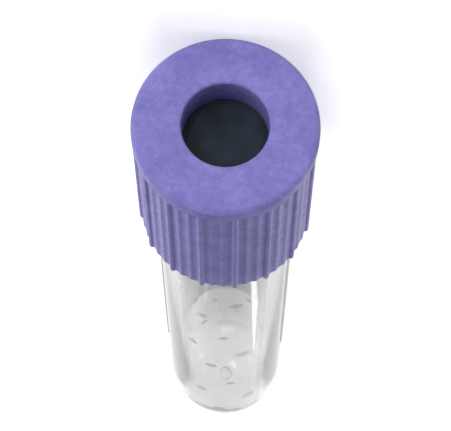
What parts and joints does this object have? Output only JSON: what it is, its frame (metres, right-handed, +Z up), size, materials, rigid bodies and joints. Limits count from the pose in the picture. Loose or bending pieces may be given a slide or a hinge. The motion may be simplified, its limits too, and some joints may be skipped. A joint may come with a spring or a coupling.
{
  "type": "blood collection tube",
  "caption": "Clear round-bottom tube with a rubber stopper in a ribbed purple safety cap, a wrap-round label and dried additive on its wall.",
  "frame": {"origin": "bottom centre of the part's box, on the surface that it lies on", "axes": "+Z up; the tube lies along Y, with its closure towards -Y and its round end towards +Y; +X to the right seen from the closure"},
  "size_m": [0.0164, 0.0824, 0.0169],
  "materials": {
    "clear_plastic": "clear, glossy, faintly drawn along its length",
    "label_film": "satin white film with a purple band",
    "dried_salt": "chalky, dried drops",
    "stopper_rubber": "smooth dark grey rubber",
    "cap_plastic": "satin moulded polyethylene, faintly mottled"
  },
  "bodies": {
    "tube_assembly": {"tube": "clear_plastic", "label": "label_film", "additive": "dried_salt"},
    "closure": {"cap": "cap_plastic", "stopper": "stopper_rubber"}
  },
  "joints": [
    {"name": "closure_pull", "type": "slide", "parent": "tube_assembly", "child": "closure", "axis": [0, -0.9995, 0.0313], "range_m": [0, 0.02]}
  ]
}
